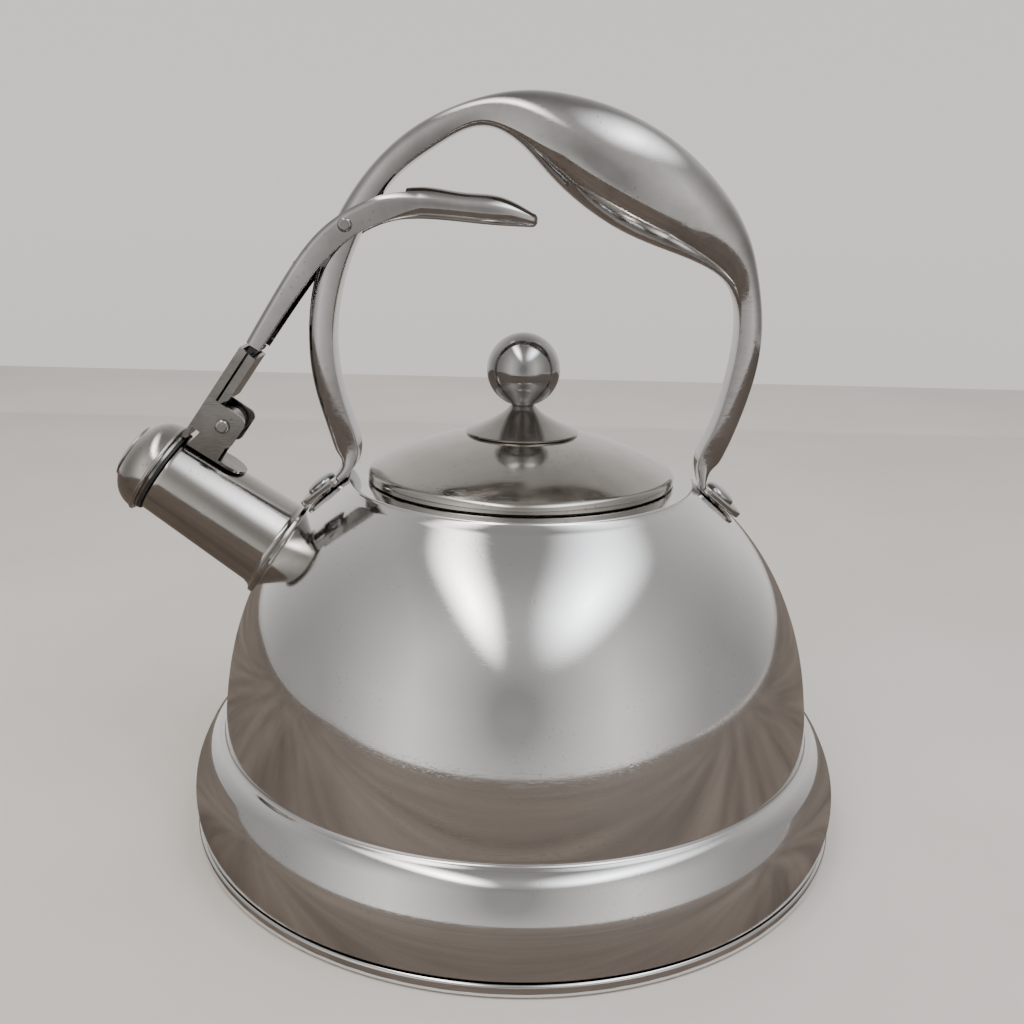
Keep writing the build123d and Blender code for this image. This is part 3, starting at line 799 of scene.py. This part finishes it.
def ring_card(name, inner, low, high, height, mat):
    """A flat card on the floor round the kettle, seen only in its reflections."""
    steps = 64
    verts = []
    for k in range(steps):
        a = 2 * math.pi * k / steps
        c, s = math.cos(a), math.sin(a)
        reach = min((high[0] if c > 0 else low[0]) / c if abs(c) > 1e-6 else 9,
                    (high[1] if s > 0 else low[1]) / s if abs(s) > 1e-6 else 9)
        verts += [(inner * c, inner * s, height), (reach * c, reach * s, height)]
    faces = [(2 * k, 2 * k + 1, (2 * k + 3) % (2 * steps), (2 * k + 2) % (2 * steps)) for k in range(steps)]
    mesh = bpy.data.meshes.new(name)
    mesh.from_pydata(verts, [], faces)
    obj = bpy.data.objects.new(name, mesh)
    bpy.context.scene.collection.objects.link(obj)
    obj.data.materials.append(mat)
    obj.visible_camera = False
    obj.visible_diffuse = False
    obj.visible_shadow = False
    obj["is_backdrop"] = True


def grained_ground():
    """A dark brown, streaked along X like boards."""
    mat, tree, shader = material("brown_card")
    at = tree.nodes.new("ShaderNodeTexCoord")
    grain = noise(tree, at, 1.5, 6.0, 0.65, (1.6, 24.0, 1.0))
    tone = remap(tree, grain, 0.3, 0.7, 0.0, 1.0)
    colour = blend_colours(tree, tone, (0.055, 0.042, 0.034), (0.17, 0.138, 0.115))
    tree.links.new(colour, shader.inputs["Base Color"])
    shader.inputs["Roughness"].default_value = 0.7
    return mat


ring_card("brown_card", 0.1125, (-1.5, -0.67), (1.1, 0.7), 0.0004, grained_ground())


def soft_card(name, at, size, turn, strength, colour, veil=0.0):
    """A soft-edged light panel, or a dark veil, that shows in the polished steel."""
    mat = bpy.data.materials.new(name)
    mat.use_nodes = True
    tree = mat.node_tree
    tree.nodes.clear()
    where = tree.nodes.new("ShaderNodeTexCoord")
    mapping = node(tree, "ShaderNodeMapping")
    mapping.inputs["Scale"].default_value = (2 / size[0], 2 / size[1], 1)
    tree.links.new(where.outputs["Object"], mapping.inputs["Vector"])
    ball = node(tree, "ShaderNodeTexGradient", gradient_type="SPHERICAL")
    tree.links.new(mapping.outputs["Vector"], ball.inputs["Vector"])
    fall = maths(tree, "POWER", ball.outputs["Fac"], 1.6)
    glow = node(tree, "ShaderNodeEmission", Color=(*colour, 1))
    tree.links.new(maths(tree, "MULTIPLY", fall, strength), glow.inputs["Strength"])
    clear = tree.nodes.new("ShaderNodeBsdfTransparent")
    tree.links.new(remap(tree, fall, 0.0, 0.8, 1.0, 1.0 - veil), clear.inputs["Color"])
    both = tree.nodes.new("ShaderNodeAddShader")
    tree.links.new(glow.outputs["Emission"], both.inputs[0])
    tree.links.new(clear.outputs["BSDF"], both.inputs[1])
    out = tree.nodes.new("ShaderNodeOutputMaterial")
    tree.links.new(both.outputs["Shader"], out.inputs["Surface"])
    obj = stage_plane(name, at, size, (0, 0, -1), mat)
    obj.matrix_world = obj.matrix_world @ Matrix.Rotation(turn, 4, "Z")
    obj.visible_camera = False
    obj.visible_shadow = False
    return obj


soft_card("warm_glow", (-0.36, -0.60, 1.20), (0.50, 2.6), math.radians(-7), 10.0, (1.0, 0.96, 0.90))
soft_card("cool_glow", (0.56, -0.55, 1.20), (0.95, 2.6), math.radians(7), 6.2, (0.92, 0.95, 1.0))
veil = soft_card("dark_veil", (0.0, -0.665, 0.25), (1.3, 1.7), 0.0, 0.0, (1.0, 1.0, 1.0), 0.68)
veil.matrix_world = Matrix.Translation(veil.location) @ Matrix.Rotation(math.radians(90), 4, "X")


LIT_POINT = Vector((0, 0, 0.05))


def area(name, at, width, height, power, colour):
    """A soft rectangular light that shines at the kettle's foot."""
    light = bpy.data.lights.new(name, "AREA")
    light.shape = "RECTANGLE"
    light.size = width
    light.size_y = height
    light.energy = power
    light.color = colour
    obj = bpy.data.objects.new(name, light)
    bpy.context.scene.collection.objects.link(obj)
    obj.location = at
    obj.rotation_euler = (LIT_POINT - Vector(at)).to_track_quat("-Z", "Y").to_euler()
    obj.visible_glossy = False


area("warm_light", (-0.5, -0.7, 1.4), 0.9, 0.9, 9.0, (1.0, 0.95, 0.88))
area("cool_light", (0.7, -0.4, 1.3), 0.9, 0.9, 6.0, (0.92, 0.96, 1.0))
area("back_light", (0.0, 1.0, 1.4), 1.2, 0.8, 7.0, (1.0, 0.97, 0.93))


def studio_world():
    """Soft walls: bright level with the kettle and in front, dimmer overhead and to either side."""
    world = bpy.data.worlds.new("studio")
    bpy.context.scene.world = world
    world.use_nodes = True
    tree = world.node_tree
    where = tree.nodes.new("ShaderNodeTexCoord")
    parts = tree.nodes.new("ShaderNodeSeparateXYZ")
    tree.links.new(where.outputs["Generated"], parts.inputs["Vector"])
    ramp = tree.nodes.new("ShaderNodeValToRGB")
    stops = ((0.0, 0.40), (0.30, 0.80), (0.50, 0.92), (0.62, 0.90), (0.78, 0.68), (0.92, 0.42),
             (1.0, 0.30))
    while len(ramp.color_ramp.elements) < len(stops):
        ramp.color_ramp.elements.new(0.5)
    for element, (place, value) in zip(ramp.color_ramp.elements, stops):
        element.position = place
        element.color = (value, value * 0.972, value * 0.94, 1)
    tree.links.new(remap(tree, parts.outputs["Z"], -1.0, 1.0, 0.0, 1.0), ramp.inputs["Fac"])
    side = maths(tree, "ABSOLUTE", parts.outputs["X"], 0.0)
    shade = remap(tree, side, 0.60, 0.97, 1.0, 0.40)
    front = remap(tree, parts.outputs["Y"], -0.7, 0.1, 1.32, 1.0)
    ground = tree.nodes["Background"]
    tree.links.new(ramp.outputs["Color"], ground.inputs["Color"])
    tree.links.new(maths(tree, "MULTIPLY", shade, front), ground.inputs["Strength"])


studio_world()

# ---- camera ----
CAMERA_AT = (0.00013, -0.3635, 0.2075)
pitch, yaw, roll = math.radians(15.57), math.radians(-0.45), math.radians(1.31)
ahead = Vector((math.sin(yaw) * math.cos(pitch), math.cos(yaw) * math.cos(pitch), -math.sin(pitch)))
right = Vector((math.cos(yaw), -math.sin(yaw), 0))
up = right.cross(ahead)
right, up = (right * math.cos(roll) + up * math.sin(roll), up * math.cos(roll) - right * math.sin(roll))
camera_data = bpy.data.cameras.new("camera")
camera_data.lens = 38.86
camera_data.sensor_width = 36.0
camera_data.clip_start = 0.01
camera = bpy.data.objects.new("camera", camera_data)
bpy.context.scene.collection.objects.link(camera)
placed = Matrix((right, up, -ahead)).transposed().to_4x4()
placed.translation = CAMERA_AT
camera.matrix_world = placed
bpy.context.scene.camera = camera

low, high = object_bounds()
